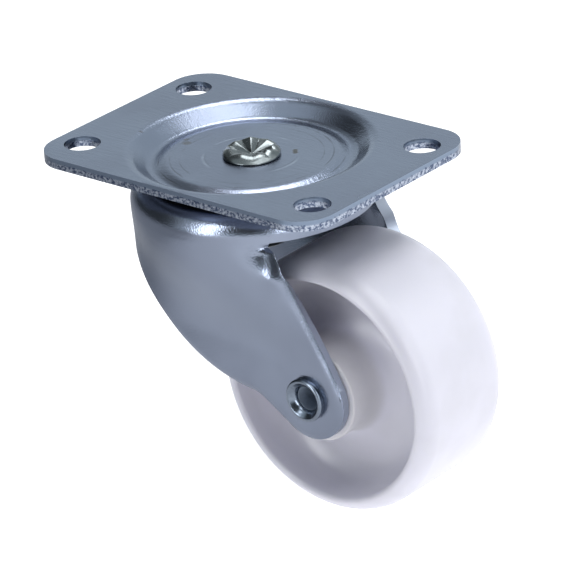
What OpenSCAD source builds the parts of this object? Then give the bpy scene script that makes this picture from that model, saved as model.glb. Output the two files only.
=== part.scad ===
// Swivel furniture castor: plate with pressed raceway, drawn fork, nylon wheel.
// Sizes are millimetres. The origin is the middle of the plate's top face and Z points up.
// The plate's long side lies along X, the wheel trails at +X and its axle lies along Y.

/* [Top plate] */
// plate length along X
plate_l = 68; // [64:0.5:80]
// plate width along Y
plate_w = 49; // [48.5:0.5:60]
// thickness of the plate's sheet
plate_t = 2; // [1.8:0.1:2.4]
// radius of the plate's corners
plate_corner_r = 7; // [5:0.5:9]
// screw hole spacing along X
hole_dx = 56; // [54:0.5:58]
// screw hole spacing along Y
hole_dy = 32; // [28:0.5:36]
// screw hole diameter
hole_d = 7; // [5:0.1:8]

/* [Pressed raceway] */
// radius at which the plate starts to bend down
rim_r = 24; // [23.5:0.1:24.2]
// depth of the disc round the kingpin below the plate's top face
dish_depth = 2.1; // [1.9:0.1:2.3]
// depth of the groove below the plate's top face
groove_depth = 2.8; // [2.7:0.05:2.9]
// slope of the groove's outer wall in degrees
outer_slope = 40; // [36:1:44]
// slope of the groove's inner wall in degrees
inner_slope = 20; // [18:1:24]
// bend radius of the rim, on the top face
rim_bend_r = 3.2; // [2.8:0.1:3.6]
// bend radius in the groove, on the top face
groove_bend_r = 2.2; // [1.8:0.1:2.4]
// bend radius at the edge of the disc, on the top face
disc_bend_r = 4; // [3:0.1:4.4]

/* [Kingpin] */
// shank diameter
pin_d = 9; // [8:0.1:9.6]
// diameter of the spigot through the plate
pin_spigot_d = 7.2; // [6:0.1:7.6]
// diameter of the star-peened end
star_d = 11; // [10:0.1:12]
// height of the star-peened end above the disc
star_h = 1.5; // [1.2:0.1:1.8]
// number of creases struck into the peened end
star_creases = 8; // [4:1:10]
// diameter of the hollow struck in the middle of the peened end
star_hollow_d = 6.4; // [5:0.1:7]
// depth of that hollow
star_hollow_depth = 1.1; // [0.8:0.1:1.4]
// diameter of the lower head
pin_head_d = 14; // [12:0.2:15]
// height of the lower head
pin_head_h = 2.4; // [1.8:0.1:3]

/* [Ball rings] */
// ball diameter in the upper ring
upper_ball_d = 4.4; // [4.2:0.05:4.6]
// pitch radius of the upper ring
upper_pitch_r = 13; // [12:0.1:13.4]
// number of balls in the upper ring
upper_balls_n = 16; // [10:1:17]
// ball diameter in the lower ring
lower_ball_d = 4; // [3.6:0.05:4.2]
// pitch radius of the lower ring
lower_pitch_r = 7.6; // [7.2:0.1:8.4]
// number of balls in the lower ring
lower_balls_n = 10; // [7:1:10]
// gap between a ball and each race
ball_play = 0.05; // [0.02:0.01:0.1]

/* [Lower race] */
// thickness of the lower race's sheet
race_t = 1.5; // [1.2:0.1:1.8]
// gap between the lower balls and the race's rim
race_side_gap = 0.3; // [0.2:0.05:0.6]
// height of the race's rim above its floor
race_rim_h = 2.4; // [1.6:0.1:3]
// inner bend radius between its floor and its rim
race_bend_r = 0.5; // [0.3:0.1:0.7]

/* [Fork] */
// thickness of the fork's sheet
fork_t = 2; // [1.8:0.1:2.2]
// outer radius of the round head
head_r = 23.3; // [22.8:0.1:23.8]
// outer bend radius of the head's shoulder
shoulder_r = 4; // [3.6:0.1:4.4]
// drop of the shoulder bend's centre below the head's race
shoulder_drop = 0.6; // [0.4:0.1:0.9]
// length of the straight skirt under the shoulder
skirt_h = 1; // [0.6:0.1:1.6]
// radial gap between the fork and the kingpin
fork_pin_gap = 0.3; // [0.2:0.05:0.5]
// gap between the legs, inside
leg_gap = 28; // [27:0.5:30]
// height of the neck that leads from the round head to the flat legs
neck_h = 22; // [20:0.5:24]
// radius of the front corners where the neck ends
front_corner_r = 8; // [6:0.5:10]
// forward reach of the neck's lower end
front_reach = 21.2; // [20.5:0.1:22]
// radius of the leg's end round the axle
leg_end_r = 8.3; // [7.5:0.1:9]
// radius of the swept lower edge
sweep_r = 30.8; // [30:0.1:31.5]
// depth of the front apron's lower edge below the plate's top face
apron_z = 19.5; // [18:0.5:21]
// radius where the apron's edge turns into the swept edge
apron_turn_r = 8; // [5:0.5:10]

/* [Axle] */
// outside diameter of the axle tube
axle_d = 6; // [5.4:0.1:6.4]
// wall of the axle tube
axle_wall = 0.7; // [0.6:0.05:0.9]
// diameter of the rolled rivet heads
axle_head_d = 8.4; // [7.8:0.1:9]
// height of the rolled rivet heads
axle_head_h = 1.3; // [1:0.05:1.6]
// distance of the axle behind the kingpin
trail = 23.5; // [22.5:0.1:24.5]
// depth of the axle below the plate's top face
axle_z = 40; // [39.5:0.1:42]

/* [Wheel] */
// wheel diameter
wheel_d = 50; // [46:0.5:50.5]
// wheel width over the rim
wheel_w = 24; // [22:0.5:26]
// radius of the tread's edges
tread_edge_r = 4.5; // [4:0.1:5.5]
// radius of the recess in each side
recess_r = 21.5; // [20.5:0.1:21.8]
// rounding of the recess rim
recess_lip_r = 0.8; // [0.5:0.05:1]
// thickness of the web
web_t = 7; // [5:0.5:10]
// radius of the hub
hub_r = 9.3; // [7:0.1:10]
// fillet between hub and web
hub_fillet_r = 6; // [4:0.1:6.4]
// fillet between rim and web
rim_fillet_r = 5; // [3:0.1:5.4]
// radial running clearance on the axle
bore_clear = 0.08; // [0.04:0.01:0.1]
// gap between the hub and each leg
hub_gap = 0.3; // [0.2:0.05:0.5]

/* [Hidden] */
$fn = 72;
zinc = [0.62, 0.66, 0.72];
steel = [0.48, 0.48, 0.5];
nylon = [0.93, 0.93, 0.96];
over = 0.5;
lap = 0.2;
skin = 0.04;

// heights of the swivel head, from the plate down
disc_under_z = -dish_depth - plate_t;
race_z = disc_under_z - upper_ball_d - 2 * ball_play;
head_under_z = race_z - fork_t;
lower_race_z = head_under_z - lower_ball_d - 2 * ball_play;
race_under_z = lower_race_z - race_t;
shoulder_z = race_z - shoulder_drop;
skirt_z = shoulder_z - skirt_h;
neck_z = skirt_z - neck_h;
leg_y = leg_gap / 2;
pin_r = pin_d / 2;
spigot_r = pin_spigot_d / 2;
axle_r = axle_d / 2;
wheel_r = wheel_d / 2;

// points of the raceway's top face, walked inwards from the rim
function along(a, r) = [r * cos(a), r * sin(a)];
function walk(c, r, a1, a2, n) = [for (i = [0 : n]) c + along(a1 + (a2 - a1) * i / n, r)];
outer_run = (groove_depth - (rim_bend_r + groove_bend_r) * (1 - cos(outer_slope))) / sin(outer_slope);
inner_rise = groove_depth - dish_depth;
inner_run = (inner_rise - (groove_bend_r + disc_bend_r) * (1 - cos(inner_slope))) / sin(inner_slope);
rim_c = [rim_r, -rim_bend_r];
wall_top = rim_c + along(90 + outer_slope, rim_bend_r);
wall_foot = wall_top + along(180 + outer_slope, outer_run);
groove_c = wall_foot + along(90 + outer_slope, groove_bend_r);
rise_foot = groove_c + along(270 - inner_slope, groove_bend_r);
rise_top = rise_foot + along(180 - inner_slope, inner_run);
disc_c = rise_top + along(270 - inner_slope, disc_bend_r);

// side view of the fork: notch under the head, rear edge, leg end and swept lower edge
notch = [17.2, skirt_z - 1.2];
leg_end = [trail, -axle_z];
notch_run = norm(leg_end - notch);
notch_turn = atan2(leg_end[1] - notch[1], leg_end[0] - notch[0]) + asin(leg_end_r / notch_run);
rear_tangent = notch + along(notch_turn, sqrt(notch_run * notch_run - leg_end_r * leg_end_r));
leg_back = notch[0] + (neck_z - notch[1]) / tan(notch_turn);
rear_past = 0.6;
sweep_c = [12.5, -11];
sweep_turn = 212.5;
sweep_start = sweep_c + along(sweep_turn, sweep_r);
apron_run = (-apron_z - sweep_start[1]) / sin(sweep_turn - 90);
apron_corner = sweep_start + along(sweep_turn - 90, apron_run);
apron_tangent = apron_turn_r / tan((sweep_turn - 90) / 2);
apron_c = apron_corner + [-apron_tangent, -apron_turn_r];
apron_foot = apron_corner + along(sweep_turn + 90, apron_tangent);

// wheel profile: the tread's edge arc runs into the lip of the recess
edge_x = wheel_r - tread_edge_r;
lip_x = recess_r + recess_lip_r;
lip_y = wheel_w / 2 - recess_lip_r;
edge_y = lip_y - sqrt(pow(tread_edge_r - recess_lip_r, 2) - pow(lip_x - edge_x, 2));
lip_turn = atan2(lip_y - edge_y, lip_x - edge_x);
hub_y = leg_y - hub_gap;

// a bend of sheet in section, between two radii and two angles
module bend(c, r1, r2, a1, a2) {
    am = (a1 + a2) / 2;
    far = 3 * r2;
    translate(c) intersection() {
        difference() {
            circle(r = r2);
            circle(r = r1);
        }
        polygon([[0, 0], along(a1, far), along(am, far), along(a2, far)]);
    }
}

// the plate's outline with round corners
module plate_outline() {
    x = plate_l / 2 - plate_corner_r;
    y = plate_w / 2 - plate_corner_r;
    square([2 * x, plate_w], center = true);
    square([plate_l, 2 * y], center = true);
    for (sx = [-1, 1], sy = [-1, 1]) translate([sx * x, sy * y]) circle(r = plate_corner_r);
}

// section of the dished raceway, its bends walked in small steps on both faces of the sheet
module raceway_section() {
    top = concat(
        [[rim_r + lap, 0]],
        walk(rim_c, rim_bend_r, 90, 90 + outer_slope, 10),
        walk(groove_c, groove_bend_r, 270 + outer_slope, 270 - inner_slope, 15),
        walk(disc_c, disc_bend_r, 90 - inner_slope, 90, 6),
        [[spigot_r, -dish_depth]]
    );
    under = concat(
        [[spigot_r, disc_under_z]],
        walk(disc_c, disc_bend_r - plate_t, 90, 90 - inner_slope, 6),
        walk(groove_c, groove_bend_r + plate_t, 270 - inner_slope, 270 + outer_slope, 15),
        walk(rim_c, rim_bend_r - plate_t, 90 + outer_slope, 90, 10),
        [[rim_r + lap, -plate_t]]
    );
    polygon(concat(top, under));
}

module top_plate() {
    color(zinc) difference() {
        union() {
            translate([0, 0, -plate_t]) linear_extrude(plate_t) difference() {
                plate_outline();
                circle(r = rim_r);
            }
            rotate_extrude() raceway_section();
        }
        for (sx = [-1, 1], sy = [-1, 1])
            translate([sx * hole_dx / 2, sy * hole_dy / 2, -plate_t - over])
                cylinder(d = hole_d, h = plate_t + 2 * over);
    }
}

// the peened end: a button with a hollow and creases struck by a star punch
module star_end() {
    edge = star_h * 0.45;
    difference() {
        translate([0, 0, -dish_depth]) rotate_extrude() {
            square([star_d / 2 - edge, star_h]);
            square([star_d / 2, star_h - edge]);
            translate([star_d / 2 - edge, star_h - edge]) circle(r = edge);
        }
        translate([0, 0, star_h - dish_depth - star_hollow_depth])
            cylinder(d1 = 0.6, d2 = star_hollow_d * 1.2, h = star_hollow_depth * 1.2);
        for (i = [0 : star_creases - 1])
            rotate([0, 0, (i + 0.5) * 360 / star_creases])
                translate([0, 0, star_h - dish_depth + 0.25])
                    rotate([0, -5, 0])
                        rotate([45, 0, 0])
                            translate([0, -0.9, -0.9]) cube([star_d, 1.8, 1.8]);
    }
}

module kingpin() {
    color(steel) union() {
        star_end();
        translate([0, 0, disc_under_z]) cylinder(r = spigot_r, h = plate_t);
        translate([0, 0, race_under_z]) cylinder(r = pin_r, h = disc_under_z - race_under_z);
        translate([0, 0, race_under_z - pin_head_h]) rotate_extrude() {
            square([pin_head_d / 2 - pin_head_h * 0.5, pin_head_h]);
            translate([0, pin_head_h * 0.5]) square([pin_head_d / 2, pin_head_h * 0.5]);
            translate([pin_head_d / 2 - pin_head_h * 0.5, pin_head_h * 0.5]) circle(r = pin_head_h * 0.5);
        }
    }
}

// a ring of loose balls
module ball_ring(n, pitch_r, d, z) {
    for (i = [0 : n - 1]) rotate([0, 0, i * 360 / n]) translate([pitch_r, 0, z]) sphere(d = d);
}

module upper_balls() {
    color(steel) ball_ring(upper_balls_n, upper_pitch_r, upper_ball_d, (disc_under_z + race_z) / 2);
}

module lower_balls() {
    color(steel) ball_ring(lower_balls_n, lower_pitch_r, lower_ball_d, (head_under_z + lower_race_z) / 2);
}

// section of the lower race: a floor round the kingpin and a rim drawn up outside the balls
module lower_race_section() {
    rim_in = lower_pitch_r + lower_ball_d / 2 + race_side_gap;
    c = [rim_in - race_bend_r, race_t + race_bend_r];
    polygon(concat(
        [[pin_r, 0]],
        walk(c, race_t + race_bend_r, 270, 360, 8),
        [[rim_in + race_t, race_t + race_rim_h], [rim_in, race_t + race_rim_h]],
        walk(c, race_bend_r, 360, 270, 8),
        [[pin_r, race_t]]
    ));
}

module lower_race() {
    color(zinc) translate([0, 0, race_under_z]) rotate_extrude() lower_race_section();
}

// section of the drawn head: race floor, rolled shoulder and skirt
module head_section() {
    floor_r = pin_r + fork_pin_gap;
    bend_r = head_r - shoulder_r;
    translate([floor_r, head_under_z]) square([bend_r - shoulder_r + fork_t - floor_r, fork_t]);
    bend([bend_r, shoulder_z], shoulder_r - fork_t, shoulder_r, 0, 90);
    bend([bend_r, shoulder_z], shoulder_r - fork_t, shoulder_r, 90, 180);
    translate([head_r - fork_t, skirt_z]) square([fork_t, skirt_h]);
}

// the neck: a loft from the round head to flat legs with a round front, cut off past the legs' rear edge
module neck(inset, past) {
    side = leg_y + fork_t - inset;
    corner = front_corner_r - inset;
    hull() {
        translate([0, 0, skirt_z + lap]) linear_extrude(0.01) intersection() {
            circle(r = head_r - inset, $fn = 100);
            translate([-2 * head_r, -head_r]) square([2 * head_r + notch[0] + past, 2 * head_r]);
        }
        for (sy = [-1, 1])
            translate([front_corner_r - front_reach, sy * (side - corner), neck_z])
                cylinder(r = corner, h = 0.01, $fn = 32);
        translate([0, -side, neck_z]) cube([leg_back + past, 2 * side, 0.01]);
    }
}

// side view of everything below the head
module fork_side() {
    back = sweep_c[0] + sweep_r;
    intersection() {
        union() {
            translate([-head_r - over, -apron_z]) square([head_r + over + back, apron_z + skirt_z + lap]);
            polygon([apron_corner, sweep_start, sweep_c]);
            difference() {
                polygon([apron_corner + [0.5, 0.5], apron_c + [0, apron_turn_r + 0.5], apron_c, apron_foot]);
                translate(apron_c) circle(r = apron_turn_r);
            }
            translate(sweep_c) circle(r = sweep_r);
            translate(leg_end) circle(r = leg_end_r);
            polygon([[trail - 12.5, -axle_z - 1.7], [trail - 5.4, -axle_z - 6.6], leg_end, sweep_c]);
        }
        union() {
            polygon([[-40, 0], [notch[0], 0], notch, rear_tangent, leg_end, [0, -60], [-40, -60]]);
            translate(leg_end) circle(r = leg_end_r);
        }
    }
}

module fork() {
    color(zinc) difference() {
        union() {
            rotate_extrude() head_section();
            intersection() {
                rotate([90, 0, 0]) linear_extrude(4 * head_r, center = true) fork_side();
                union() {
                    difference() {
                        neck(skin, rear_past);
                        neck(fork_t - skin, rear_past + lap);
                    }
                    for (sy = [-1, 1])
                        translate([-10 - head_r, sy * (leg_y + fork_t / 2) - fork_t / 2, -axle_z - 20])
                            cube([90, fork_t, axle_z + 20 + neck_z]);
                }
            }
        }
        translate([trail, 0, -axle_z]) rotate([90, 0, 0]) cylinder(r = axle_r, h = 4 * leg_y, center = true);
    }
}

module axle() {
    face = leg_y + fork_t;
    bead = axle_head_h / 2;
    in_r = axle_r - axle_wall;
    color(steel) translate([trail, 0, -axle_z]) rotate([90, 0, 0]) rotate_extrude() {
        translate([in_r, -face]) square([axle_wall, 2 * face]);
        for (s = [-1, 1]) {
            translate([in_r + bead, s * (face + bead) - bead])
                square([axle_head_d / 2 - 2 * bead - in_r, 2 * bead]);
            translate([in_r + bead, s * (face + bead)]) circle(r = bead);
            translate([axle_head_d / 2 - bead, s * (face + bead)]) circle(r = bead);
            translate([in_r, s * (face + bead / 2) - bead / 2]) square([axle_head_d / 2 - bead - in_r, bead]);
        }
    }
}

// one half of the wheel's section, from the middle plane outwards
module wheel_half() {
    r = axle_r + bore_clear;
    hub_c = hub_r + hub_fillet_r;
    rim_c2 = recess_r - rim_fillet_r;
    difference() {
        union() {
            translate([r, 0]) square([recess_r - r, hub_y]);
            intersection() {
                union() {
                    translate([recess_r - 1, 0]) square([wheel_r - recess_r + 1, edge_y]);
                    translate([recess_r - 1, 0]) square([lip_x - recess_r + 1, lip_y]);
                    translate([lip_x, lip_y]) circle(r = recess_lip_r);
                    translate([edge_x, edge_y]) intersection() {
                        circle(r = tread_edge_r);
                        polygon([[0, 0], [30, 0], [30, 30 * tan(lip_turn)]]);
                    }
                }
                translate([recess_r, 0]) square([wheel_r, wheel_w]);
            }
        }
        translate([hub_c, web_t / 2 + hub_fillet_r]) circle(r = hub_fillet_r);
        translate([rim_c2, web_t / 2 + rim_fillet_r]) circle(r = rim_fillet_r);
        translate([min(hub_c, rim_c2), web_t / 2]) square([abs(rim_c2 - hub_c) + 0.001, wheel_w]);
        translate([hub_r, web_t / 2 + hub_fillet_r]) square([hub_fillet_r + 0.1, wheel_w]);
        translate([rim_c2 - 0.1, web_t / 2 + rim_fillet_r]) square([rim_fillet_r + 0.1, wheel_w]);
    }
}

module wheel() {
    color(nylon) translate([trail, 0, -axle_z]) rotate([90, 0, 0]) rotate_extrude() {
        wheel_half();
        mirror([0, 1]) wheel_half();
    }
}

top_plate();
kingpin();
upper_balls();
lower_balls();
lower_race();
fork();
axle();
wheel();
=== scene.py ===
"""Looks of a plate-mounted swivel castor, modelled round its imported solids.

Run as a script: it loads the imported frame, models the visible pieces, gives them their finishes
and sets the stage.
"""

import math

import bmesh
import bpy
from mathutils import Matrix, Vector
from mathutils.kdtree import KDTree


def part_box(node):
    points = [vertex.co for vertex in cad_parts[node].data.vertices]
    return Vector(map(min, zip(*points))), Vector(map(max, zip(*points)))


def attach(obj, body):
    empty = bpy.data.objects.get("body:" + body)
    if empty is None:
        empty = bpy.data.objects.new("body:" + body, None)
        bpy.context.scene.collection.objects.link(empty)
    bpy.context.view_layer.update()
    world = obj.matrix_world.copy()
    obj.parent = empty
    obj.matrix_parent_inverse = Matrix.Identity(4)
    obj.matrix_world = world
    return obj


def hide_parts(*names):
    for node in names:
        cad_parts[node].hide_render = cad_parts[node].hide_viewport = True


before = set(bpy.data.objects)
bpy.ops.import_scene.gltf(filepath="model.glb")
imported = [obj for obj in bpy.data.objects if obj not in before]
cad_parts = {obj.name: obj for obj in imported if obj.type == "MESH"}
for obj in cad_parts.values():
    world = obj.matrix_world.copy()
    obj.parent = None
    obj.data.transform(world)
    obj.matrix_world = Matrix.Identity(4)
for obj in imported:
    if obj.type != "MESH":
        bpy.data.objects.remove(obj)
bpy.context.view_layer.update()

bl_info = {
    "name": "Swivel castor",
    "version": (1, 0, 0),
    "blender": (4, 5, 0),
    "location": "View3D > Sidebar > Castor",
    "description": "Models a plate-mounted swivel castor and its finishes",
    "category": "Object",
}

MM = 0.001
# the photo's width and the focal length fitted to it, in pixels, and the camera's sensor in millimetres
PHOTO_WIDE = 573
FOCAL_LENGTH = 4500
SENSOR = 36
PLATE_LOW, PLATE_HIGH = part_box("top_plate")
PIN_LOW, PIN_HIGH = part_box("kingpin")
AXLE_LOW, AXLE_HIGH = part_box("axle")
WHEEL_LOW, WHEEL_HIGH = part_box("wheel")


def to_linear(code):
    """Turns an sRGB hex colour into linear red, green and blue."""
    parts = [int(code[i : i + 2], 16) / 255 for i in (1, 3, 5)]
    return tuple(p / 12.92 if p <= 0.04045 else ((p + 0.055) / 1.055) ** 2.4 for p in parts)


def length(name, description, default):
    """A length in metres that a user may change."""
    return bpy.props.FloatProperty(
        name=name, description=description, default=default, unit="LENGTH", precision=5
    )


def angle(name, description, degrees):
    """An angle given in degrees."""
    return bpy.props.FloatProperty(
        name=name, description=description, default=math.radians(degrees), subtype="ANGLE"
    )


def colour(name, description, code):
    """A colour given as an sRGB hex value."""
    return bpy.props.FloatVectorProperty(
        name=name, description=description, default=to_linear(code), size=3, subtype="COLOR", min=0, max=1
    )


class CastorPlateSizes(bpy.types.PropertyGroup):
    long: length("Length", "Plate along X", PLATE_HIGH.x - PLATE_LOW.x)
    wide: length("Width", "Plate along Y", PLATE_HIGH.y - PLATE_LOW.y)
    sheet: length("Sheet", "Thickness of the plate", 2 * MM)
    corner: length("Corner", "Radius of the corners", 7 * MM)
    hole: length("Hole", "Screw hole diameter", 7 * MM)
    hole_x: length("Hole spacing X", "Screw hole spacing along X", 56 * MM)
    hole_y: length("Hole spacing Y", "Screw hole spacing along Y", 32 * MM)
    rim: length("Rim", "Radius at which the dish starts", 24 * MM)
    dish: length("Dish", "Depth of the disc round the pin", 2.1 * MM)
    groove: length("Groove", "Depth of the ball groove", 2.8 * MM)
    roll: length("Edge roll", "Rounding that the press leaves on sheared edges", 0.32 * MM)


class CastorPinSizes(bpy.types.PropertyGroup):
    star: length("Star", "Radius of the peened end", 5.5 * MM)
    star_height: length("Star height", "Height of the petals above the disc", 1.5 * MM)
    hollow: length("Hollow", "Height of the middle of the star above the disc", 0.25 * MM)
    spigot: length("Spigot", "Radius of the pin through the plate", 3.6 * MM)
    shank: length("Shank", "Radius of the shank", 4.5 * MM)
    head: length("Head", "Radius of the lower head", (PIN_HIGH.x - PIN_LOW.x) / 2)
    head_height: length("Head height", "Height of the lower head", 2.4 * MM)


class CastorForkSizes(bpy.types.PropertyGroup):
    sheet: length("Sheet", "Thickness of the drawn sheet", 2 * MM)
    head: length("Head", "Outer radius of the round head", 23.3 * MM)
    shoulder: length("Shoulder", "Outer bend radius of the shoulder", 4 * MM)
    shoulder_z: length("Shoulder height", "Height of the shoulder bend's centre", -9.2 * MM)
    skirt_z: length("Skirt height", "Height of the skirt's lower rim", -10.2 * MM)
    race_z: length("Race height", "Height of the floor that the balls run on", -8.6 * MM)
    bore: length("Bore", "Radius of the hole round the kingpin", 4.8 * MM)
    leg: length("Leg", "Distance of a leg's outer face from the middle", 16 * MM)
    neck: length("Neck", "Height over which the round head turns into flat legs", 22 * MM)
    corner: length("Corner", "Radius of the front corners", 8 * MM)
    reach: length("Reach", "Forward reach of the neck's lower end", 21.2 * MM)
    leg_end: length("Leg end", "Radius of the leg round the axle", 8.3 * MM)
    apron_z: length("Apron height", "Height of the front apron's lower edge", -19.5 * MM)
    edge: length("Edge", "Rounding of the trimmed edges", 0.2 * MM)
    roll: length("Die roll", "Depth to which the press rolls the outer face in at its edges", 0.52 * MM)
    roll_wide: length("Die roll width", "Width of the rolled-in strip", 1.3 * MM)
    relief: length("Relief", "Depth of the small relief at the notch under the head", 0.8 * MM)
    bulge: length("Bulge", "Height of the bulge that the press leaves under the notch", 0.72 * MM)
    dent: length("Dent", "Depth of the dent between the bulge and the notch", 0.35 * MM)


class CastorAxleSizes(bpy.types.PropertyGroup):
    trail: length("Trail", "Distance of the axle behind the kingpin", (AXLE_LOW.x + AXLE_HIGH.x) / 2)
    height: length("Height", "Height of the axle", (AXLE_LOW.z + AXLE_HIGH.z) / 2)
    tube: length("Tube", "Outer radius of the tube", 3 * MM)
    bore: length("Bore", "Inner radius of the tube", 2.3 * MM)
    head: length("Head", "Radius of the rolled heads", (AXLE_HIGH.x - AXLE_LOW.x) / 2)
    reach: length("Reach", "Distance of the heads' outer end from the middle", AXLE_HIGH.y)


class CastorWheelSizes(bpy.types.PropertyGroup):
    radius: length("Radius", "Radius of the tread", (WHEEL_HIGH.x - WHEEL_LOW.x) / 2)
    wide: length("Width", "Width over the rim", 24 * MM)
    edge: length("Edge", "Radius of the tread's edges", 4.5 * MM)
    recess: length("Recess", "Radius of the recess", 21.5 * MM)
    lip: length("Lip", "Rounding of the recess rim", 0.8 * MM)
    web: length("Web", "Thickness of the web", 7 * MM)
    hub: length("Hub", "Radius of the hub", 9.3 * MM)
    hub_wide: length("Hub width", "Width over the hub", WHEEL_HIGH.y - WHEEL_LOW.y)
    hub_fillet: length("Hub fillet", "Fillet between hub and web", 6 * MM)
    rim_fillet: length("Rim fillet", "Fillet between rim and web", 5 * MM)
    bore: length("Bore", "Radius of the bore", 3.08 * MM)


class CastorFinishes(bpy.types.PropertyGroup):
    zinc: colour("Zinc", "Bright zinc plating on the pressed sheet", "#7F8797")
    zinc_dull: colour("Dull zinc", "Zinc plating where it is handled and stained", "#747B8B")
    shear: colour("Sheared edge", "Torn grain of a sheared edge under the plating", "#A6AEBC")
    land: colour("Burnished land", "Smooth part of a sheared edge, where the punch entered", "#717E90")
    pin: colour("Pin steel", "Struck steel of the kingpin", "#6E7476")
    axle: colour("Axle steel", "Rolled steel of the axle", "#7C8694")
    ball: colour("Ball steel", "Hardened steel of the balls", "#A9AAAC")
    nylon: colour("Nylon", "White moulded nylon", "#DAD9E4")
    nylon_dull: colour("Rubbed nylon", "Nylon where it is rubbed and soiled", "#CFCED6")


class CastorStage(bpy.types.PropertyGroup):
    azimuth: angle("Azimuth", "Camera turn from the front", 41.4526)
    elevation: angle("Elevation", "Camera height as an angle", 24.1177)
    roll: angle("Roll", "Camera tilt", -4.096)
    distance: length("Distance", "Camera distance from the aim", 0.84446)
    aim: bpy.props.FloatVectorProperty(
        name="Aim",
        description="Point at the middle of the picture",
        default=(0.007035, -0.000859, -0.027055),
        size=3,
        unit="LENGTH",
    )
    lens: bpy.props.FloatProperty(
        name="Lens",
        description="Focal length in millimetres",
        default=FOCAL_LENGTH * SENSOR / PHOTO_WIDE,
    )
    floor: colour("Floor", "Pale studio floor", "#A8A8AC")


# Modelling helpers: operators make and finish a piece, and its rings are put in place by their columns.


def begin_ring(name, columns, radius):
    """Adds a ring by itself, opens it for editing and numbers its vertices.

    Every ring extruded from it keeps the numbers, so each vertex knows its column.
    """
    bpy.ops.object.select_all(action="DESELECT")
    bpy.ops.mesh.primitive_circle_add(vertices=columns, radius=radius)
    piece = bpy.context.object
    piece.name = name
    piece.data.name = name
    bpy.ops.object.mode_set(mode="EDIT")
    bpy.ops.mesh.select_mode(type="VERT")
    bpy.ops.mesh.select_all(action="SELECT")
    edit = bmesh.from_edit_mesh(piece.data)
    column = edit.verts.layers.int.new("column")
    edit.verts.ensure_lookup_table()
    for i, vert in enumerate(edit.verts):
        vert[column] = i
    bmesh.update_edit_mesh(piece.data)
    return piece


def close(piece, sharp=40):
    """Leaves edit mode and shades the piece smooth, but for bends sharper than an angle in degrees."""
    bpy.ops.object.mode_set(mode="OBJECT")
    bpy.ops.object.shade_smooth_by_angle(angle=math.radians(sharp))
    drop_columns(piece)


def tidy_shell():
    """Merges doubles and turns the faces outwards."""
    bpy.ops.mesh.select_all(action="SELECT")
    bpy.ops.mesh.remove_doubles(threshold=0.002 * MM)
    bpy.ops.mesh.normals_make_consistent(inside=False)


def set_ring(piece, place):
    """Puts each selected vertex where place says for its column."""
    edit = bmesh.from_edit_mesh(piece.data)
    column = edit.verts.layers.int["column"]
    for vert in edit.verts:
        if vert.select:
            vert.co = place(vert[column])
    bmesh.update_edit_mesh(piece.data)


def extrude_ring(piece, place):
    """Extrudes the selected ring and puts the new one in place."""
    bpy.ops.mesh.extrude_region_move()
    set_ring(piece, place)


def level_ring(radius, z, turn):
    """Places a ring's columns on a level circle, each at its turn."""
    return lambda i: Vector((radius * math.cos(turn(i)), radius * math.sin(turn(i)), z))


def select_where(piece, test):
    """Selects the vertices that pass a test of place and column, and what lies between them."""
    edit = bmesh.from_edit_mesh(piece.data)
    column = edit.verts.layers.int["column"]
    for vert in edit.verts:
        vert.select = test(vert.co, vert[column])
    edit.select_flush_mode()
    edit.select_flush(True)
    bmesh.update_edit_mesh(piece.data)


def drop_columns(piece):
    """Removes the column numbers, which only the modelling needs."""
    layer = piece.data.attributes.get("column")
    if layer:
        piece.data.attributes.remove(layer)


def apply_modifier(piece, kind, **settings):
    """Adds a modifier, sets it up and applies it."""
    modifier = piece.modifiers.new(kind.title(), kind)
    for key, value in settings.items():
        setattr(modifier, key, value)
    bpy.ops.object.modifier_apply(modifier=modifier.name)


def coat(piece, *materials):
    """Gives a piece its materials, in the order of their slots."""
    for material in materials:
        piece.data.materials.append(material)


def thicken(piece, sheet):
    """Gives a shell its sheet thickness inwards, with the second material on its rim."""
    apply_modifier(
        piece,
        "SOLIDIFY",
        thickness=sheet,
        offset=-1,
        use_even_offset=True,
        use_quality_normals=True,
        material_offset_rim=1,
    )


def drill(piece, spots, radius, deep, turn=(0, 0, 0)):
    """Cuts round holes through a piece, each centred on its spot, with the second material on their walls."""
    for spot in spots:
        bpy.ops.object.select_all(action="DESELECT")
        bpy.ops.mesh.primitive_cylinder_add(
            vertices=96, radius=radius, depth=deep, location=spot, rotation=turn
        )
        cutter = bpy.context.object
        coat(cutter, *piece.data.materials)
        for face in cutter.data.polygons:
            face.material_index = 1
        bpy.ops.object.select_all(action="DESELECT")
        piece.select_set(True)
        bpy.context.view_layer.objects.active = piece
        apply_modifier(piece, "BOOLEAN", operation="DIFFERENCE", solver="EXACT", object=cutter)
        bpy.data.objects.remove(cutter)


def round_edges(piece, width, material=-1):
    """Rounds the sharp edges. The new faces take the material of that number, or by -1 their neighbours'."""
    apply_modifier(
        piece,
        "BEVEL",
        width=width,
        segments=3,
        limit_method="ANGLE",
        angle_limit=math.radians(50),
        material=material,
    )


def shade_sheet(piece, sharp):
    """Shades a sheet smooth round its edges, and keeps its flat faces flat."""
    bpy.ops.object.shade_smooth_by_angle(angle=math.radians(sharp))
    apply_modifier(piece, "WEIGHTED_NORMAL", keep_sharp=True)
    drop_columns(piece)


def arc(centre, radius, start, end, steps):
    """Points of an arc in section, between two angles in degrees."""
    turns = [math.radians(start + (end - start) * i / steps) for i in range(steps + 1)]
    return [(centre[0] + radius * math.cos(t), centre[1] + radius * math.sin(t)) for t in turns]


def lathe(name, section, middle, steps):
    """Spins a closed section of radius and height pairs round the line through the middle along Y."""
    out, axis = Vector((1, 0, 0)), Vector((0, 1, 0))
    piece = begin_ring(name, len(section), MM)
    set_ring(piece, lambda i: Vector(middle) + out * section[i][0] + axis * section[i][1])
    bpy.ops.mesh.spin(steps=steps, angle=2 * math.pi, center=middle, axis=axis)
    tidy_shell()
    close(piece)
    return piece


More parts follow.
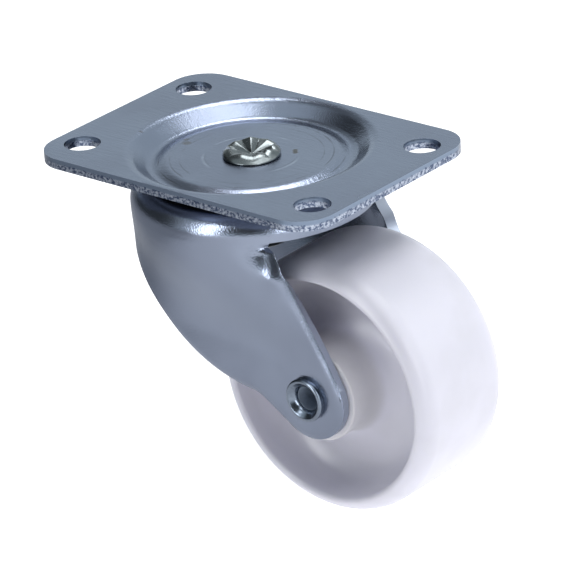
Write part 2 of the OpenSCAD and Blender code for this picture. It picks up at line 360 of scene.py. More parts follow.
def smooth(t):
    """Rises from 0 to 1 with level ends."""
    t = min(max(t, 0), 1)
    return t * t * (3 - 2 * t)


def mix(a, b, t):
    """The value at a share of the way from a to b."""
    return a + (b - a) * t


# Materials: one function adds a node with its settings and links, and short ones call it.


def add(tree, kind, links=None, **settings):
    """Adds a node, sets its properties and sets or links its inputs."""
    node = tree.nodes.new(kind)
    for key, value in settings.items():
        setattr(node, key, value)
    for key, value in (links or {}).items():
        socket = node.inputs[key]
        if isinstance(value, bpy.types.NodeSocket):
            tree.links.new(value, socket)
        else:
            socket.default_value = value
    return node


def calc(tree, operation, *values, clamp=False):
    """The result of a maths node."""
    links = dict(enumerate(values))
    return add(tree, "ShaderNodeMath", links, operation=operation, use_clamp=clamp).outputs[0]


def vector(tree, operation, *values):
    """The outputs of a vector maths node: first a vector, then a number."""
    links = dict(enumerate(values))
    return add(tree, "ShaderNodeVectorMath", links, operation=operation).outputs


def ramp(tree, value, low, high, bottom=0, top=1, soft=False):
    """A value that runs from bottom at low to top at high, straight or with soft ends."""
    links = {"Value": value, "From Min": low, "From Max": high, "To Min": bottom, "To Max": top}
    kind = "SMOOTHSTEP" if soft else "LINEAR"
    return add(tree, "ShaderNodeMapRange", links, interpolation_type=kind).outputs[0]


def blend(tree, factor, first, second):
    """A colour at a share of the way from the first to the second."""
    links = {"Factor": factor, 6: first, 7: second}
    return add(tree, "ShaderNodeMix", links, data_type="RGBA").outputs[2]


def noise(tree, place, grain, detail, rough=0.5):
    """Noise whose clouds are about grain millimetres wide."""
    links = {"Vector": place, "Scale": 1 / (grain * MM), "Detail": detail, "Roughness": rough}
    return add(tree, "ShaderNodeTexNoise", links).outputs["Fac"]


def surface(tree, output, sockets, height, strength, depth):
    """Puts a shader on the output, with a bump that is depth millimetres high."""
    bump = add(tree, "ShaderNodeBump", {"Height": height, "Strength": strength, "Distance": depth * MM})
    shader = add(tree, "ShaderNodeBsdfPrincipled", {**sockets, "Normal": bump.outputs[0]})
    tree.links.new(shader.outputs[0], output.inputs[0])


def new_material(name):
    """An empty node material with its output."""
    material = bpy.data.materials.new(name)
    material.use_nodes = True
    tree = material.node_tree
    tree.nodes.clear()
    return material, tree, add(tree, "ShaderNodeOutputMaterial")


def rgba(value):
    """A colour with full cover."""
    return (*value, 1)


# ring marks in the dish, and a painted highlight: radius and half width in millimetres, strength, colour
RING_MARKS_AND_HIGHLIGHT = (
    # the pale ring is a painted highlight along a tool ring; the dark rings are tool marks
    (9.2, 0.45, 0.4, "#B4BCC8"),
    (8.8, 0.22, 0.5, "#5A616E"),
    (13.6, 0.2, 0.5, "#4A4D55"),
    (15.4, 0.24, 0.6, "#4A4D55"),
    (17.6, 0.2, 0.7, "#4A4D55"),
)
# specks on the plate: place along X and Y and radius in millimetres, strength
SPECKS = (
    (5.95, 5.56, 0.5, 1.0),
    (5.55, 6.01, 0.5, 1.0),
    (6.35, 5.11, 0.5, 1.0),
    (-14.4, -1.9, 0.9, 0.7),
    (-15.7, -0.6, 0.6, 0.6),
    (-22.4, -5.7, 0.4, 0.5),
)
SPECK_COLOUR = "#101014"


def wear_zinc(name, base, dull, rough, plate):
    """Bright zinc plating on cold-rolled sheet: a cool grey mirror, blurred by the plating's fine grit.

    Handling leaves cloudy stains about 26 mm wide, which are duller. The plate also has the marks of its
    rolling and of its press tool, and a painted highlight along one tool ring.
    """
    material, tree, output = new_material(name)
    place = add(tree, "ShaderNodeTexCoord").outputs["Object"]
    cloud = noise(tree, place, 26, 3, 0.55)
    grit = noise(tree, place, 0.3, 1)
    tone = blend(tree, ramp(tree, cloud, 0.3, 0.75, soft=True), rgba(base), rgba(dull))
    height, metal = grit, 1
    if plate:
        tone, height, metal = press_marks_and_highlight(tree, place, tone, grit)
    sockets = {
        "Base Color": tone,
        "Metallic": metal,
        "Roughness": ramp(tree, cloud, 0.3, 0.7, rough - 0.04, rough + 0.06),
        "Specular Tint": (0.85, 0.87, 0.9, 1),
    }
    surface(tree, output, sockets, height, 0.6, 0.06)
    return material


def press_marks_and_highlight(tree, place, tone, grit):
    """Marks on the plate: short fine lines of the rolling, broken rings of the press tool, one painted pale
    as its highlight, and dark specks.

    Returns the plate's colour, the height of its relief and how far it is bare metal.
    """
    lines = add(tree, "ShaderNodeMapping", {"Vector": place, "Scale": (0.16, 1, 1)}).outputs[0]
    height = calc(tree, "ADD", noise(tree, lines, 0.7, 3), grit)
    flat = vector(tree, "MULTIPLY", place, (1, 1, 0))[0]
    radius = vector(tree, "LENGTH", flat)["Value"]
    broken = ramp(tree, noise(tree, place, 6, 2), 0.42, 0.62)
    # the pale ring's colour is a painted highlight, the dark rings' colour the tool marks'
    for ring, wide, strength, code in RING_MARKS_AND_HIGHLIGHT:
        off = calc(tree, "ABSOLUTE", calc(tree, "SUBTRACT", radius, ring * MM))
        line = ramp(tree, off, wide * MM, 0, top=strength, soft=True)
        line = calc(tree, "MULTIPLY", line, broken)
        tone = blend(tree, line, tone, rgba(to_linear(code)))
        height = calc(tree, "SUBTRACT", height, line)
    metal = 1
    for x, y, wide, strength in SPECKS:
        near = vector(tree, "DISTANCE", flat, (x * MM, y * MM, 0))["Value"]
        ragged = calc(tree, "MULTIPLY_ADD", grit, 0.25 * MM, near)
        speck = ramp(tree, ragged, (wide + 0.3) * MM, (0.6 * wide + 0.1) * MM, top=strength, soft=True)
        tone = blend(tree, speck, tone, rgba(to_linear(SPECK_COLOUR)))
        metal = calc(tree, "SUBTRACT", metal, speck, clamp=True)
    return tone, height, metal


def torn_edge(name, base, land, land_low, rough):
    """Sheared sheet edge under zinc: a burnished land where the punch entered, then torn, glittering grain.

    The grain has flecks about 0.45 mm wide in relief and patches about 0.6 mm wide in tone. land is the
    land's colour, and land_low the height in millimetres at which it ends, along a wavy line.
    """
    wave = 0.9
    material, tree, output = new_material(name)
    place = add(tree, "ShaderNodeTexCoord").outputs["Object"]
    fleck = add(tree, "ShaderNodeTexVoronoi", {"Vector": place, "Scale": 1 / (0.45 * MM)})
    dust = noise(tree, place, 0.6, 3, 0.7)
    torn = add(tree, "ShaderNodeValToRGB", {"Fac": dust})
    dark, bright = torn.color_ramp.elements
    dark.position = 0.42
    dark.color = rgba(to_linear("#465168"))
    bright.position = 0.6
    bright.color = rgba(base)
    up = add(tree, "ShaderNodeSeparateXYZ", {0: place}).outputs["Z"]
    wavy = calc(tree, "MULTIPLY_ADD", dust, wave * MM, up)
    low = (land_low + wave / 2) * MM
    tear = ramp(tree, wavy, low + 0.1 * MM, low - 0.1 * MM)
    tone = blend(tree, tear, rgba(land), torn.outputs[0])
    relief = calc(tree, "MULTIPLY", fleck.outputs["Distance"], tear)
    sockets = {"Base Color": tone, "Metallic": 1, "Roughness": rough}
    surface(tree, output, sockets, relief, 0.6, 0.08)
    return material


def struck_steel(name, base, rough, grain, depth, metal=1):
    """Plated steel that a tool has struck or rolled: bright where it is burnished and darker in its scuffs.

    grain is the width and depth the height of the scuffs in millimetres. metal 0 makes it matt; the tube's
    bore uses that with a pale colour as a painted glint.
    """
    material, tree, output = new_material(name)
    place = add(tree, "ShaderNodeTexCoord").outputs["Object"]
    scuff = noise(tree, place, grain, 4, 0.6)
    dark = tuple(c * 0.55 for c in base)
    sockets = {
        "Base Color": blend(tree, scuff, rgba(base), rgba(dark)),
        "Metallic": metal,
        "Roughness": ramp(tree, scuff, 0.3, 0.7, rough, rough + 0.12),
    }
    surface(tree, output, sockets, scuff, 0.5, depth)
    return material


def moulded_nylon(name, base, dull, axle, hub):
    """White nylon as moulded: a milky body that lets a little light in, a satin skin and faint flow clouds.

    The flow clouds are about 14 mm wide and the skin's texture about 0.6 mm. Grease and dust off the legs
    leave a dull film round the hub's edge.
    """
    material, tree, output = new_material(name)
    place = add(tree, "ShaderNodeTexCoord").outputs["Object"]
    cloud = noise(tree, place, 14, 3)
    skin = noise(tree, place, 0.6, 2)
    rub = ramp(tree, cloud, 0.5, 0.75, top=0.5, soft=True)
    tone = blend(tree, rub, rgba(base), rgba(dull))
    out = vector(tree, "SUBTRACT", place, axle)[0]
    flat = vector(tree, "MULTIPLY", out, (1, 0, 1))[0]
    radius = vector(tree, "LENGTH", flat)["Value"]
    off = calc(tree, "ABSOLUTE", calc(tree, "SUBTRACT", radius, hub))
    film = ramp(tree, off, 1.6 * MM, 0.1 * MM, top=0.35, soft=True)
    sockets = {
        "Base Color": blend(tree, film, tone, rgba(to_linear("#8F8B7C"))),
        "Roughness": ramp(tree, cloud, 0.3, 0.7, 0.32, 0.42),
        "IOR": 1.53,
        "Subsurface Weight": 0.25,
        "Subsurface Radius": (1.2, 1.2, 1.4),
        "Subsurface Scale": MM,
    }
    surface(tree, output, sockets, skin, 0.15, 0.02)
    return material


def dress(piece, body, slot, *nodes):
    """Puts a new piece on its body in place of its solids. The slot is not used."""
    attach(piece, body)
    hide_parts(*nodes)


class CASTOR_OT_top_plate(bpy.types.Operator):
    """Model the pressed plate with its dished raceway and screw holes"""

    bl_idname = "castor.top_plate"
    bl_label = "Top plate"

    def execute(self, context):
        s = context.scene.castor_plate
        looks = context.scene.castor_finishes
        columns = 288
        piece = begin_ring("plate", columns, s.rim)
        straight_y = s.wide / 2 - s.corner
        straight_x = s.long / 2 - s.corner
        bend = s.corner * math.pi / 2
        quarter = straight_y + straight_x + bend

        def turn(i):
            return 2 * math.pi * i / columns

        def outline(i):
            """A point of the outer edge: the laps are quarters, and every other one runs back."""
            lap, run = divmod(4 * quarter * i / columns, quarter)
            lap = int(lap) % 4
            if lap % 2:
                run = quarter - run
            if run < straight_y:
                x, y = s.long / 2, run
            elif run < straight_y + bend:
                t = (run - straight_y) / s.corner
                x, y = straight_x + s.corner * math.cos(t), straight_y + s.corner * math.sin(t)
            else:
                x, y = quarter - run, s.wide / 2
            return Vector((x if lap in (0, 3) else -x, y if lap in (0, 1) else -y, 0))

        set_ring(piece, outline)
        for radius, z in dish_section(s):
            extrude_ring(piece, level_ring(radius, z, turn))
        tidy_shell()
        bpy.ops.object.mode_set(mode="OBJECT")
        if piece.data.polygons[0].normal.z < 0:
            piece.data.flip_normals()
        zinc = wear_zinc("bright zinc on pressed plate", looks.zinc, looks.zinc_dull, rough=0.22, plate=True)
        edge = torn_edge("zinc over sheared plate edge", looks.shear, looks.land, land_low=-0.8, rough=0.28)
        coat(piece, zinc, edge)
        thicken(piece, s.sheet)
        spots = [(x * s.hole_x / 2, y * s.hole_y / 2, -s.sheet / 2) for x in (-1, 1) for y in (-1, 1)]
        drill(piece, spots, s.hole / 2, 4 * s.sheet)
        round_edges(piece, s.roll)
        shade_sheet(piece, 35)
        dress(piece, "base", "plate_zinc", "top_plate")
        return {"FINISHED"}


def dish_section(s):
    """Points of the dish's top face, from the rim inwards to the pin."""
    # slopes of the outer wall and of the rise to the disc, in degrees
    outer, inner = 40, 20
    rim_bend, groove_bend, disc_bend = 3.2 * MM, 2.2 * MM, 4 * MM
    slope = math.radians(outer)
    rise = math.radians(inner)
    wall = (s.groove - (rim_bend + groove_bend) * (1 - math.cos(slope))) / math.sin(slope)
    climb = (s.groove - s.dish - (groove_bend + disc_bend) * (1 - math.cos(rise))) / math.sin(rise)
    rim = (s.rim, -rim_bend)
    margin = 0.12 * MM
    points = [(s.rim + margin, 0)] + arc(rim, rim_bend, 90, 90 + outer, 10)
    foot = (points[-1][0] - wall * math.cos(slope), points[-1][1] - wall * math.sin(slope))
    groove = (foot[0] - groove_bend * math.sin(slope), foot[1] + groove_bend * math.cos(slope))
    points += arc(groove, groove_bend, 270 + outer, 270 - inner, 16)
    top = (points[-1][0] - climb * math.cos(rise), points[-1][1] + climb * math.sin(rise))
    disc = (top[0] - disc_bend * math.sin(rise), top[1] - disc_bend * math.cos(rise))
    points += arc(disc, disc_bend, 90 - inner, 90, 8)
    flat_rings = (13, 10, 7, 5, 3.65)
    return points + [(r * MM, -s.dish) for r in flat_rings]


class CASTOR_OT_kingpin(bpy.types.Operator):
    """Model the kingpin with its star-peened end"""

    bl_idname = "castor.kingpin"
    bl_label = "Kingpin"

    def execute(self, context):
        s = context.scene.castor_pin
        plate = context.scene.castor_plate
        looks = context.scene.castor_finishes
        creases = [math.radians(d) for d in (-47, -8, 30, 69, 113, 151, 188, 250)]
        ends = creases[1:] + [creases[0] + 2 * math.pi]
        # columns of one petal
        fine = 26
        columns = fine * len(creases)
        base = -plate.dish
        # the side on which the punch flattened the petals most
        near = math.radians(-48)

        def turn(i):
            """Angle of a column: each petal has the same number of columns."""
            petal, part = divmod(i, fine)
            return mix(creases[petal], ends[petal], part / fine)

        def ring(share, height):
            """Places a ring at a share of the star's radius, with its own height at each column."""
            radius = s.star * share

            def place(i):
                x, y = radius * math.cos(turn(i)), radius * math.sin(turn(i))
                return Vector((x, y, base + height(i)))

            return place

        def top(share):
            """Height of the struck top: petals rise from the hollow to a crest, with creases between."""

            def height(i):
                worn = 0.5 + 0.5 * math.cos(turn(i) - near)
                crest = mix(0.9, 0.42, worn)
                high = s.star_height * (1 + 0.07 * math.sin(3 * turn(i) + 1))
                past = max(share - crest, 0) / (1 - crest)
                if past:
                    rise = high * (1 - mix(0.25, 0.85, worn) * past**2.8)
                else:
                    rise = mix(s.hollow, high, (share / crest) ** 1.1)
                groove = min(mix(s.hollow * 0.4, mix(0.74, 0.42, worn) * high, share**1.3), rise)
                groove = mix(groove, rise, 0.9 * worn * smooth(share / crest - 0.3))
                return mix(groove, rise, 1 - abs(2 * (i % fine) / fine - 1) ** 1.35)

            return height

        piece = begin_ring("kingpin_star", columns, s.star)
        rim = top(0.97)
        set_ring(piece, ring(0.93, lambda i: 0))
        for share, high in ((0.985, 0.12), (1.0, 0.36), (1.0, 0.62), (0.99, 0.86)):
            extrude_ring(piece, ring(share, lambda i, high=high: high * rim(i)))
        # shares of the radius, close-set near the rim
        shares = [0.97, 0.94, 0.9, 0.86, 0.8, 0.74, 0.68, 0.62, 0.56, 0.5, 0.43]
        shares += [0.36, 0.29, 0.22, 0.15, 0.08]
        for share in shares:
            extrude_ring(piece, ring(share, top(share)))
        bpy.ops.mesh.merge(type="CENTER")
        select_where(piece, lambda co, i: abs(co.z - base) < 0.01 * MM)
        under = PIN_LOW.z + s.head_height
        bend = s.head_height / 2
        step = base - plate.sheet
        rings = [(s.spigot, base), (s.spigot, step), (s.shank, step), (s.shank, under), (s.head, under)]
        rings += arc((s.head - bend, PIN_LOW.z + bend), bend, 0, -90, 8) + [(s.head * 0.4, PIN_LOW.z)]
        for r, height in rings:
            extrude_ring(piece, level_ring(r, height, turn))
        bpy.ops.mesh.merge(type="CENTER")
        tidy_shell()
        close(piece, 48)
        coat(piece, struck_steel("star-peened plated steel", looks.pin, rough=0.17, grain=0.8, depth=0.016))
        dress(piece, "base", "pin_steel", "kingpin")
        return {"FINISHED"}


# turn of the fork's wall from its front middle to a rear edge
WRAP = math.radians(136.5)


class CASTOR_OT_fork(bpy.types.Operator):
    """Model the fork: a drawn round head whose skirt flows into two flat legs"""

    bl_idname = "castor.fork"
    bl_label = "Fork"

    def execute(self, context):
        s = context.scene.castor_fork
        axle = context.scene.castor_axle
        looks = context.scene.castor_finishes
        # columns of the wall, and of the open rear between its edges
        legs, gap = 208, 60
        columns, half = legs + gap, legs // 2
        piece = begin_ring("fork_drawn", columns, s.head)

        def share(i):
            """Way of a column from the front middle to a rear edge, close-set near the rear edge."""
            crowd = 0.09
            t = abs(i - half) / half
            return t + crowd * math.sin(math.pi * t) * t * t

        def turn(i):
            if i > legs:
                return -math.pi + WRAP + (2 * math.pi - 2 * WRAP) * (i - legs) / gap
            return math.pi - (share(i) if i < half else -share(i)) * WRAP

        set_ring(piece, level_ring(s.head, s.skirt_z, turn))
        bend = (s.head - s.shoulder, s.shoulder_z)
        fillet = 1.2 * MM
        valley_x = bend[0] - math.sqrt((s.shoulder + fillet) ** 2 - (s.race_z + fillet - bend[1]) ** 2)
        valley = (valley_x, s.race_z + fillet)
        lean = math.degrees(math.atan2(valley[1] - bend[1], valley[0] - bend[0]))
        profile = [(s.head, mix(s.skirt_z, s.shoulder_z, t)) for t in (0.2, 0.4, 0.6, 0.8)]
        profile += arc(bend, s.shoulder, 0, lean, 30)
        profile += arc(valley, fillet, lean - 180, -90, 5)
        profile += [(mix(valley_x, s.bore, t), s.race_z) for t in (0.3, 0.65, 1)]
        for radius, z in profile:
            extrude_ring(piece, level_ring(radius, z, turn))

        feet = {i: leg_foot(s, axle, share(i)) for i in range(legs + 1)}
        select_where(piece, lambda co, i: abs(co.z - s.skirt_z) < 0.001 * MM and i <= legs)
        # rows down the wall, close-set over the notch and along the trimmed edge
        close_set, rows = 8, 40
        notch_low = s.skirt_z - 2.4 * MM
        for row in range(1, rows + 1):

            def lower(i, row=row):
                foot = feet[i] + s.roll_wide * 1.2
                if row <= close_set:
                    z = mix(s.skirt_z, notch_low, row / close_set)
                elif row > rows - close_set:
                    z = mix(foot, feet[i], (row - rows + close_set) / close_set)
                else:
                    z = mix(notch_low, foot, (row - close_set) / (rows - 2 * close_set))
                x, y = neck_point(s, axle, share(i), z)
                return Vector((x, y if i < half else -y, z))

            extrude_ring(piece, lower)
        tidy_shell()
        bpy.ops.object.mode_set(mode="OBJECT")
        highest = max(piece.data.polygons, key=lambda face: face.center.z)
        if highest.normal.z < 0:
            piece.data.flip_normals()
        inward = die_roll(piece, s)
        zinc = wear_zinc("bright zinc on drawn fork", looks.zinc, looks.zinc_dull, rough=0.23, plate=False)
        edge = torn_edge("zinc over sheared fork edge", looks.shear, looks.shear, land_low=-80, rough=0.42)
        coat(piece, zinc, edge)
        thicken(piece, s.sheet)
        for i, move in inward.items():
            piece.data.vertices[i].co += move
        round_edges(piece, s.edge, material=0)
        drill(piece, [(axle.trail, 0, axle.height)], axle.tube, 4 * s.leg, (math.pi / 2, 0, 0))
        shade_sheet(piece, 40)
        dress(piece, "yoke", "fork_zinc", "fork")
        return {"FINISHED"}


def die_roll(piece, s):
    """Moves that roll the outer face in towards its trimmed edges, by vertex.

    The roll grows on the way down the wall.
    """
    plain, growth = 8 * MM, 12 * MM
    mesh = piece.data
    used = {}
    for face in mesh.polygons:
        for key in face.edge_keys:
            used[key] = used.get(key, 0) + 1
    rim = {i for key, count in used.items() if count == 1 for i in key}
    rim = [i for i in rim if mesh.vertices[i].co.z < s.skirt_z - 0.3 * MM]
    tree = KDTree(len(rim))
    for i in rim:
        tree.insert(mesh.vertices[i].co, i)
    tree.balance()
    moves = {}
    for vert in mesh.vertices:
        far = tree.find(vert.co)[2]
        if far < s.roll_wide:
            grown = smooth((s.skirt_z - plain - vert.co.z) / growth)
            moves[vert.index] = -vert.normal * s.roll * grown * (1 - far / s.roll_wide) ** 1.25
    return moves


def rear_edge(s, axle):
    """The straight rear edge of a leg in side view.

    Returns its start under the notch, its slope and the height of its end on the leg's round.
    """
    start = (17.2 * MM, s.skirt_z - 1.2 * MM)
    dx, dz = axle.trail - start[0], axle.height - start[1]
    run = math.hypot(dx, dz)
    lean = math.atan2(dz, dx) + math.asin(s.leg_end / run)
    far = math.sqrt(run * run - s.leg_end * s.leg_end)
    return start, math.cos(lean) / math.sin(lean), start[1] + far * math.sin(lean)


def slab_point(s, axle, share):
    """Outline of the fork where the neck ends: half of the flat front, a round corner and the leg."""
    start, slope, _ = rear_edge(s, axle)
    front = s.leg - s.corner
    bend = s.corner * math.pi / 2
    back = start[0] + slope * (s.skirt_z - s.neck - start[1])
    run = share * (front + bend + back + s.reach - s.corner)
    if run < front:
        return -s.reach, run
    if run < front + bend:
        t = (run - front) / s.corner
        return -s.reach + s.corner * (1 - math.cos(t)), front + s.corner * math.sin(t)
    return -s.reach + s.corner + run - front - bend, s.leg


# press marks by the notch: place along X and under the skirt, then width and height
BULGE = (18.6 * MM, 6.1 * MM, 1.6 * MM, 1.6 * MM)
DENT = (16 * MM, 2.2 * MM, MM, 1.3 * MM)


def mound(s, mark, x, z):
    """Height of a soft mound of height 1 at a point of the leg's side view."""
    along, under, wide, tall = mark
    return math.exp(-(((x - along) / wide) ** 2) - ((z - s.skirt_z + under) / tall) ** 2)


def neck_point(s, axle, share, z):
    """A point of the fork's outer face at a height.

    share is the point's share of the way from the front middle to the rear edge.
    """
    t = math.pi - share * WRAP
    round_x, round_y = s.head * math.cos(t), s.head * math.sin(t)
    flat_x, flat_y = slab_point(s, axle, share)
    down = (s.skirt_z - z) / s.neck
    level = mix(min(down, 1), smooth(down), 0.7)
    lean = mix(smooth(down / 0.4), 1, smooth((share - 0.9) / 0.1)) * smooth((share - 0.3) / 0.4)
    x = mix(round_x, flat_x, mix(level, down, lean))
    y = mix(round_y, flat_y, level)
    relief_tall = 1.8 * MM
    under = (s.skirt_z - z) / relief_tall
    if 0 < under < 1:
        x -= s.relief * math.sin(math.pi * under) ** 2 * smooth((share - 0.94) / 0.06)
    return x, y + s.bulge * mound(s, BULGE, x, z) - s.dent * mound(s, DENT, x, z)


def low_edge(s, axle, x):
    """Height of the fork's trimmed lower edge in side view."""
    middle, sweep = (12.5 * MM, -11 * MM), 30.8 * MM
    low = s.apron_z
    steep = math.radians(212.5)
    start = (middle[0] + sweep * math.cos(steep), middle[1] + sweep * math.sin(steep))
    if x <= start[0]:
        low = min(low, start[1] + (x - start[0]) * math.tan(steep - math.pi / 2))
    elif x < middle[0]:
        low = min(low, middle[1] - math.sqrt(max(sweep * sweep - (x - middle[0]) ** 2, 0)))
    # the straight run from the sweep to the leg's round
    left, left_z = axle.trail - 12.5 * MM, axle.height - 1.7 * MM
    right, right_z = axle.trail - 5.4 * MM, axle.height - 6.3 * MM
    if left <= x <= right:
        low = min(low, mix(left_z, right_z, (x - left) / (right - left)))
    if abs(x - axle.trail) <= s.leg_end and x > right:
        low = min(low, axle.height - math.sqrt(s.leg_end**2 - (x - axle.trail) ** 2))
    return low


def leg_foot(s, axle, share):
    """Height at which a column of the fork meets the trimmed edge."""
    _, _, rear_end = rear_edge(s, axle)

    def trimmed(x):
        """Height of the lower edge, with its corners softened ahead of the leg's round."""
        if x >= axle.trail - 6 * MM:
            return low_edge(s, axle, x)
        near = [low_edge(s, axle, x + d * MM) for d in (-1.2, -0.6, 0, 0.6, 1.2)]
        return sum(near) / len(near)

    def inside(z):
        x, _ = neck_point(s, axle, share, z)
        in_end = math.hypot(x - axle.trail, z - axle.height) <= s.leg_end
        if x > axle.trail:
            return z >= rear_end or in_end
        return z >= trimmed(x) or in_end

    z, step = s.skirt_z - 0.5 * MM, 0.25 * MM
    while inside(z):
        z -= step
    for _ in range(20):
        step /= 2
        z += step if not inside(z) else -step
    return z


class CASTOR_OT_axle(bpy.types.Operator):
    """Model the tubular axle with its rolled heads"""

    bl_idname = "castor.axle"
    bl_label = "Axle"

    def execute(self, context):
        s = context.scene.castor_axle
        fork = context.scene.castor_fork
        looks = context.scene.castor_finishes
        lip = 0.46 * MM
        crest = (s.head - lip, s.reach - lip)
        throat = 1.5 * MM
        seat = fork.leg + 0.01 * MM
        # from the bore outwards: the flared mouth, the rolled lip, the head's side and its seat on the leg
        rolled = [(s.bore, s.reach - throat - 0.5 * MM), (s.bore + 0.06 * MM, s.reach - throat)]
        rolled += [(s.bore + 0.22 * MM, s.reach - 0.7 * throat), (s.bore + 0.55 * MM, s.reach - 0.4 * throat)]
        rolled += arc(crest, lip, 150, 0, 16)
        rolled += [(s.head - 0.03 * MM, fork.leg + 0.3 * MM), (s.head - 0.16 * MM, seat), (s.tube, seat)]
        section = [(s.bore, 0)] + rolled + [(s.tube, 0)]
        section += [(r, -h) for r, h in reversed(rolled)]
        piece = lathe("axle_tube", section, (s.trail, 0, s.height), 128)
        # the bore is painted pale and matt: a painted glint inside the tube
        painted_glint = tuple(1.8 * c for c in looks.axle)
        coat(
            piece,
            struck_steel("rolled plated steel tube", looks.axle, rough=0.16, grain=0.5, depth=0.012),
            struck_steel("bore of the tube painted pale as its glint", painted_glint, rough=0.3, grain=0.5, depth=0.012, metal=0),
        )
        for face in piece.data.polygons:
            out = face.center - Vector((s.trail, 0, s.height))
            if Vector((out.x, 0, out.z)).length < s.bore + 0.1 * MM:
                face.material_index = 1
        dress(piece, "yoke", "axle_steel", "axle")
        return {"FINISHED"}


class CASTOR_OT_wheel(bpy.types.Operator):
    """Model the moulded wheel with its recessed sides"""

    bl_idname = "castor.wheel"
    bl_label = "Wheel"

    def execute(self, context):
        s = context.scene.castor_wheel
        axle = context.scene.castor_axle
        looks = context.scene.castor_finishes
        web = s.web / 2
        lip = (s.recess + s.lip, s.wide / 2 - s.lip)
        edge_x = s.radius - s.edge
        edge_y = lip[1] - math.sqrt((s.edge - s.lip) ** 2 - (lip[0] - edge_x) ** 2)
        meet = math.degrees(math.atan2(lip[1] - edge_y, lip[0] - edge_x))
        hub = s.hub_wide / 2
        soft = 0.4 * MM
        side = [(s.bore, hub - 0.3 * MM), (s.bore + 0.3 * MM, hub)]
        side += arc((s.hub - soft, hub - soft), soft, 90, 0, 4)
        side += arc((s.hub + s.hub_fillet, web + s.hub_fillet), s.hub_fillet, 180, 270, 16)
        side += arc((s.recess - s.rim_fillet, web + s.rim_fillet), s.rim_fillet, 270, 360, 14)
        side += arc(lip, s.lip, 180, meet, 8)
        side += arc((edge_x, edge_y), s.edge, meet, 0, 14)[1:]
        section = side + [(s.radius, 0)] + [(r, -h) for r, h in reversed(side)]
        middle = (axle.trail, 0, axle.height)
        piece = lathe("wheel_moulded", section, middle, 256)
        coat(piece, moulded_nylon("white moulded nylon", looks.nylon, looks.nylon_dull, middle, s.hub))
        dress(piece, "road_wheel", "wheel_nylon", "wheel")
        return {"FINISHED"}


class CASTOR_OT_bearing(bpy.types.Operator):
    """Give the balls and the lower race their finishes"""

    bl_idname = "castor.bearing"
    bl_label = "Bearing"

    def execute(self, context):
        looks = context.scene.castor_finishes
        balls = struck_steel("hardened ball steel", looks.ball, rough=0.1, grain=1.5, depth=0.002)
        race = wear_zinc("bright zinc on lower race", looks.zinc, looks.zinc_dull, rough=0.32, plate=False)
        for node, material in (("upper_balls", balls), ("lower_balls", balls), ("lower_race", race)):
            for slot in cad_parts[node].material_slots:
                slot.material = material
        return {"FINISHED"}


# dark cards of the room: azimuth and elevation, angles of the dark core and of the soft edge, all in
# degrees, and darkness
CARDS = (
    (-72, 12, 25, 46, 0.92),
    (-108, 48, 10, 32, 0.75),
    (34, 28, 17, 31, 0.92),
)
# lamps: azimuth and elevation in degrees, distance, width and height in metres, brightness against white
LAMPS = (
    ("overhead_softbox", 95, 73, 0.74, 0.75, 0.36, 3.6),
    ("far_softbox", -148, 62, 0.7, 0.24, 0.3, 8.5),
    ("right_softbox", 114, 30, 0.75, 0.95, 0.62, 1.0),
    ("front_strip", -5, 21, 0.7, 0.19, 0.72, 7.5),
    ("edge_strip", 66, 18, 0.75, 0.12, 0.5, 8.0),
)


class CASTOR_OT_stage(bpy.types.Operator):
    """Set the camera, the pale floor and the soft lamps"""

    bl_idname = "castor.stage"
    bl_label = "Stage"

    def execute(self, context):
        s = context.scene.castor_stage
        scene = context.scene
        scene.view_settings.view_transform = "Standard"
        back = towards(s.azimuth, s.elevation)
        right = Vector((math.cos(s.azimuth), math.sin(s.azimuth), 0))
        up = back.cross(right)
        tilted = right * math.cos(s.roll) + up * math.sin(s.roll)
        upright = up * math.cos(s.roll) - right * math.sin(s.roll)
        spot = Vector(s.aim) + back * s.distance
        bpy.ops.object.camera_add()
        camera = context.object
        camera.name = "photo_camera"
        camera.matrix_world = Matrix(
            (
                (tilted.x, upright.x, back.x, spot.x),
                (tilted.y, upright.y, back.y, spot.y),
                (tilted.z, upright.z, back.z, spot.z),
                (0, 0, 0, 1),
            )
        )
        camera.data.sensor_width = SENSOR
        camera.data.lens = s.lens
        camera.data.clip_start = 10 * MM
        scene.camera = camera

        bpy.ops.mesh.primitive_plane_add(size=6, location=(0, 0, WHEEL_LOW.z - 0.02 * MM))
        floor = context.object
        floor.name = "studio_floor"
        floor.data.materials.append(studio_floor("pale studio floor", s.floor))

        scene.world = white_studio("white studio")
        for name, azimuth, elevation, far, wide, high, white in LAMPS:
            place = towards(math.radians(azimuth), math.radians(elevation)) * far
            bpy.ops.object.light_add(type="AREA", location=place)
            lamp = context.object
            lamp.name = name
            lamp.data.shape = "RECTANGLE"
            lamp.data.size = wide
            lamp.data.size_y = high
            lamp.data.energy = white * math.pi * wide * high
            lamp.rotation_euler = (-place).to_track_quat("-Z", "Y").to_euler()
            # the strips are for the metal to mirror, and would flatten the shaded side of the wheel
            lamp.visible_diffuse = not name.endswith("strip")
        return {"FINISHED"}


def towards(azimuth, elevation):
    """Unit vector to a point seen at an azimuth from the front and an elevation."""
    level = math.cos(elevation)
    return Vector((math.sin(azimuth) * level, -math.cos(azimuth) * level, math.sin(elevation)))


def seen_rays(tree):
    """Two values for a ray.

    The first is 1 if it sees a surface directly, in a mirror or through glass, the second if it doesn't
    start at the camera.
    """
    path = add(tree, "ShaderNodeLightPath").outputs
    direct = calc(tree, "MAXIMUM", path["Is Camera Ray"], path["Is Transmission Ray"])
    seen = calc(tree, "MAXIMUM", direct, path["Is Glossy Ray"])
    return seen, calc(tree, "SUBTRACT", 1, path["Is Camera Ray"])


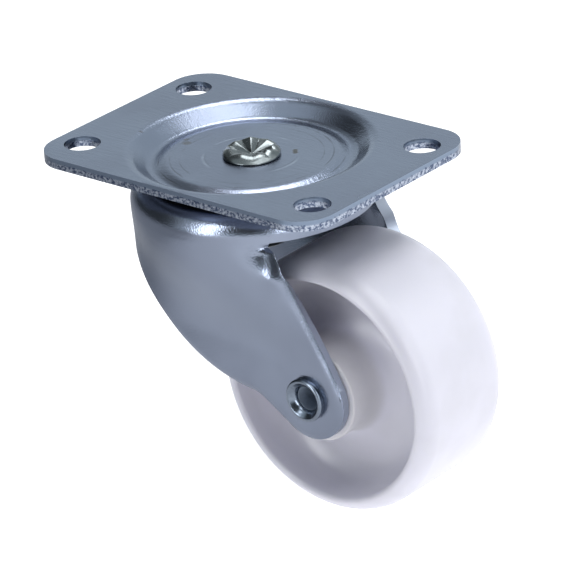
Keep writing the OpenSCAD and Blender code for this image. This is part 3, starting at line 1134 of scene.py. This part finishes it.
def white_studio(name):
    """World that is white to the camera.

    To all other rays it is a little blue, as daylight is, and has dark cards. Matt surfaces get a dimmer
    light from it than the metal mirrors.
    """
    dim = 0.38
    world = bpy.data.worlds.new(name)
    world.use_nodes = True
    tree = world.node_tree
    tree.nodes.clear()
    seen, unseen = seen_rays(tree)
    way = add(tree, "ShaderNodeTexCoord").outputs["Generated"]
    dark = 0
    for azimuth, elevation, core, edge, depth in CARDS:
        middle = towards(math.radians(azimuth), math.radians(elevation))
        lean = vector(tree, "DOT_PRODUCT", way, middle)["Value"]
        outside, inside = math.cos(math.radians(edge)), math.cos(math.radians(core))
        card = ramp(tree, lean, outside, inside, top=depth, soft=True)
        dark = calc(tree, "MAXIMUM", card, dark)
    bright = calc(tree, "SUBTRACT", 1, calc(tree, "MULTIPLY", dark, unseen))
    level = calc(tree, "MULTIPLY", ramp(tree, seen, 0, 1, dim, 1), bright)
    tint = blend(tree, unseen, (1, 1, 1, 1), (0.86, 0.95, 0.99, 1))
    glow = add(tree, "ShaderNodeBackground", {"Color": tint, "Strength": level})
    tree.links.new(glow.outputs[0], add(tree, "ShaderNodeOutputWorld").inputs[0])
    return world


def studio_floor(name, base):
    """Matt pale floor: it keeps the object's soft shadow and shows white where it is lit.

    What the metal mirrors of it falls off to the left, away from the lamps.
    """
    material, tree, output = new_material(name)
    seen, unseen = seen_rays(tree)
    place = add(tree, "ShaderNodeTexCoord").outputs["Object"]
    across = add(tree, "ShaderNodeSeparateXYZ", {0: place}).outputs["X"]
    left = ramp(tree, across, -35 * MM, -75 * MM, top=0.7)
    right = ramp(tree, across, 30 * MM, 90 * MM, -0.12, 0.3)
    slope = calc(tree, "MULTIPLY", calc(tree, "SUBTRACT", right, left), unseen)
    glow = ramp(tree, seen, 0, 1, 1, calc(tree, "ADD", slope, 0.9))
    sockets = {
        "Base Color": rgba(base),
        "Roughness": 0.9,
        "Emission Color": (1, 1, 1, 1),
        "Emission Strength": glow,
    }
    shader = add(tree, "ShaderNodeBsdfPrincipled", sockets)
    tree.links.new(shader.outputs[0], output.inputs[0])
    return material


STEPS = ("stage", "top_plate", "kingpin", "fork", "axle", "wheel", "bearing")


class CASTOR_PT_panel(bpy.types.Panel):
    """Steps of the castor, in order"""

    bl_idname = "CASTOR_PT_panel"
    bl_label = "Castor"
    bl_space_type = "VIEW_3D"
    bl_region_type = "UI"
    bl_category = "Castor"

    def draw(self, context):
        for step in STEPS:
            self.layout.operator(f"castor.{step}")


SETTINGS = {
    "castor_plate": CastorPlateSizes,
    "castor_pin": CastorPinSizes,
    "castor_fork": CastorForkSizes,
    "castor_axle": CastorAxleSizes,
    "castor_wheel": CastorWheelSizes,
    "castor_finishes": CastorFinishes,
    "castor_stage": CastorStage,
}
CLASSES = (
    *SETTINGS.values(),
    CASTOR_OT_stage,
    CASTOR_OT_top_plate,
    CASTOR_OT_kingpin,
    CASTOR_OT_fork,
    CASTOR_OT_axle,
    CASTOR_OT_wheel,
    CASTOR_OT_bearing,
    CASTOR_PT_panel,
)


def register():
    for cls in CLASSES:
        bpy.utils.register_class(cls)
    for name, cls in SETTINGS.items():
        setattr(bpy.types.Scene, name, bpy.props.PointerProperty(type=cls))


def unregister():
    for name in SETTINGS:
        delattr(bpy.types.Scene, name)
    for cls in reversed(CLASSES):
        bpy.utils.unregister_class(cls)


def main():
    register()
    for step in STEPS:
        getattr(bpy.ops.castor, step)()


if __name__ == "__main__":
    main()
